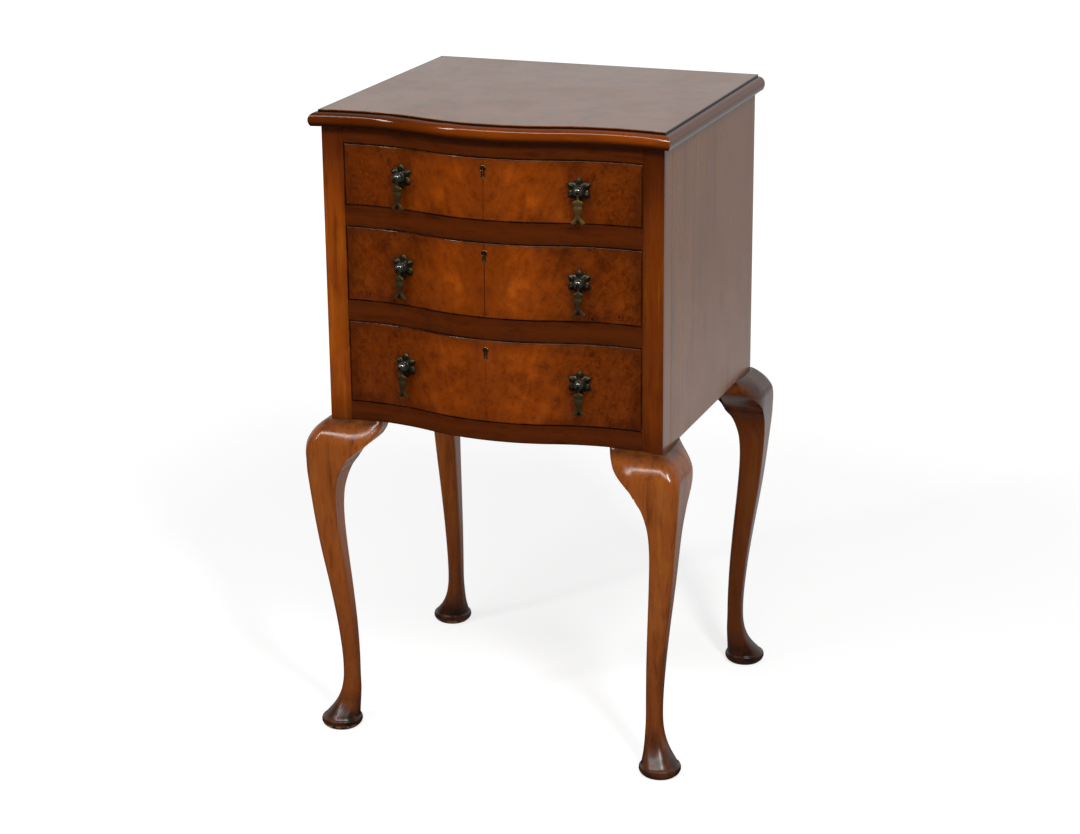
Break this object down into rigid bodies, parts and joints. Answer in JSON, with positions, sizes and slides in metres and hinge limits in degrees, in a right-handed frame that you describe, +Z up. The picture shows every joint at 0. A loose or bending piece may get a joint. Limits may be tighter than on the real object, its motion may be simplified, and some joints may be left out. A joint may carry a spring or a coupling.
{
  "type": "bedside chest of drawers",
  "caption": "Serpentine-fronted bedside chest of drawers on cabriole legs with pad feet, with sliding drawers, hanging drop handles and drawer locks.",
  "frame": {"origin": "on the floor, under the middle of the whole chest", "axes": "+X to the right as seen from the front, -Y out of the front, +Z up"},
  "size_m": [0.4508, 0.398, 0.744],
  "materials": {
    "burr_walnut": "French polished burr veneer",
    "walnut_top": "French polished veneer",
    "walnut_moulding": "French polished, glossy",
    "walnut_sides": "French polished veneer",
    "walnut_posts": "French polished",
    "walnut_rails": "French polished, darker stain",
    "walnut_legs": "French polished, carved",
    "carcase_pine": "planed, unfinished",
    "back_plywood": "stained plywood",
    "drawer_oak": "planed, waxed",
    "aged_bronze": "dark patina, rubbed on high spots",
    "brass": "dull brass",
    "steel_screws": "plain steel"
  },
  "bodies": {
    "case": {"top_panel": "carcase_pine", "top_veneer": "walnut_top", "front_moulding": "walnut_moulding", "side_mouldings": "walnut_moulding", "side_panel_left": "walnut_sides", "side_panel_right": "walnut_sides", "front_posts": "walnut_posts", "rear_posts": "walnut_posts", "back_panel": "back_plywood", "top_rail": "walnut_rails", "upper_divider_rail": "walnut_rails", "lower_divider_rail": "walnut_rails", "bottom_rail": "walnut_rails", "rear_rails": "carcase_pine", "runners": "carcase_pine", "kickers": "carcase_pine", "guides": "carcase_pine", "drawer_stops": "carcase_pine", "bottom_board": "back_plywood", "leg_front_left": "walnut_legs", "leg_front_right": "walnut_legs", "leg_rear_left": "walnut_legs", "leg_rear_right": "walnut_legs", "front_knee_blocks": "walnut_legs", "rear_knee_blocks": "walnut_legs", "leg_dowels": "drawer_oak", "top_screws": "steel_screws"},
    "top_drawer": {"top_drawer_front": "carcase_pine", "top_drawer_veneer": "burr_walnut", "top_drawer_sides": "drawer_oak", "top_drawer_back": "drawer_oak", "top_drawer_bottom": "drawer_oak", "top_drawer_lock": "brass", "top_drawer_escutcheon": "brass", "top_drawer_handle_mounts": "aged_bronze"},
    "top_bolt": {"top_drawer_bolt": "brass"},
    "top_drop_left": {"top_drawer_drop_left": "aged_bronze"},
    "top_drop_right": {"top_drawer_drop_right": "aged_bronze"},
    "middle_drawer": {"middle_drawer_front": "carcase_pine", "middle_drawer_veneer": "burr_walnut", "middle_drawer_sides": "drawer_oak", "middle_drawer_back": "drawer_oak", "middle_drawer_bottom": "drawer_oak", "middle_drawer_lock": "brass", "middle_drawer_escutcheon": "brass", "middle_drawer_handle_mounts": "aged_bronze"},
    "middle_bolt": {"middle_drawer_bolt": "brass"},
    "middle_drop_left": {"middle_drawer_drop_left": "aged_bronze"},
    "middle_drop_right": {"middle_drawer_drop_right": "aged_bronze"},
    "bottom_drawer": {"bottom_drawer_front": "carcase_pine", "bottom_drawer_veneer": "burr_walnut", "bottom_drawer_sides": "drawer_oak", "bottom_drawer_back": "drawer_oak", "bottom_drawer_bottom": "drawer_oak", "bottom_drawer_lock": "brass", "bottom_drawer_escutcheon": "brass", "bottom_drawer_handle_mounts": "aged_bronze"},
    "bottom_bolt": {"bottom_drawer_bolt": "brass"},
    "bottom_drop_left": {"bottom_drawer_drop_left": "aged_bronze"},
    "bottom_drop_right": {"bottom_drawer_drop_right": "aged_bronze"}
  },
  "joints": [
    {"name": "top_drawer_slide", "type": "slide", "parent": "case", "child": "top_drawer", "axis": [0, -1, 0], "range_m": [0, 0.26]},
    {"name": "top_bolt_slide", "type": "slide", "parent": "top_drawer", "child": "top_bolt", "axis": [0, 0, 1], "range_m": [0, 0.006]},
    {"name": "top_drop_left_hinge", "type": "hinge", "parent": "top_drawer", "child": "top_drop_left", "pos_m": [-0.10566, -0.17971, 0.6719], "axis": [-0.9835, 0.1807, 0], "range_deg": [-8, 85]},
    {"name": "top_drop_right_hinge", "type": "hinge", "parent": "top_drawer", "child": "top_drop_right", "pos_m": [0.10566, -0.17971, 0.6719], "axis": [-0.9835, -0.1807, 0], "range_deg": [-8, 85]},
    {"name": "middle_drawer_slide", "type": "slide", "parent": "case", "child": "middle_drawer", "axis": [0, -1, 0], "range_m": [0, 0.26]},
    {"name": "middle_bolt_slide", "type": "slide", "parent": "middle_drawer", "child": "middle_bolt", "axis": [0, 0, 1], "range_m": [0, 0.006]},
    {"name": "middle_drop_left_hinge", "type": "hinge", "parent": "middle_drawer", "child": "middle_drop_left", "pos_m": [-0.10566, -0.17971, 0.56965], "axis": [-0.9835, 0.1807, 0], "range_deg": [-8, 85]},
    {"name": "middle_drop_right_hinge", "type": "hinge", "parent": "middle_drawer", "child": "middle_drop_right", "pos_m": [0.10566, -0.17971, 0.56965], "axis": [-0.9835, -0.1807, 0], "range_deg": [-8, 85]},
    {"name": "bottom_drawer_slide", "type": "slide", "parent": "case", "child": "bottom_drawer", "axis": [0, -1, 0], "range_m": [0, 0.26]},
    {"name": "bottom_bolt_slide", "type": "slide", "parent": "bottom_drawer", "child": "bottom_bolt", "axis": [0, 0, 1], "range_m": [0, 0.006]},
    {"name": "bottom_drop_left_hinge", "type": "hinge", "parent": "bottom_drawer", "child": "bottom_drop_left", "pos_m": [-0.10566, -0.17971, 0.45465], "axis": [-0.9835, 0.1807, 0], "range_deg": [-8, 85]},
    {"name": "bottom_drop_right_hinge", "type": "hinge", "parent": "bottom_drawer", "child": "bottom_drop_right", "pos_m": [0.10566, -0.17971, 0.45465], "axis": [-0.9835, -0.1807, 0], "range_deg": [-8, 85]}
  ]
}
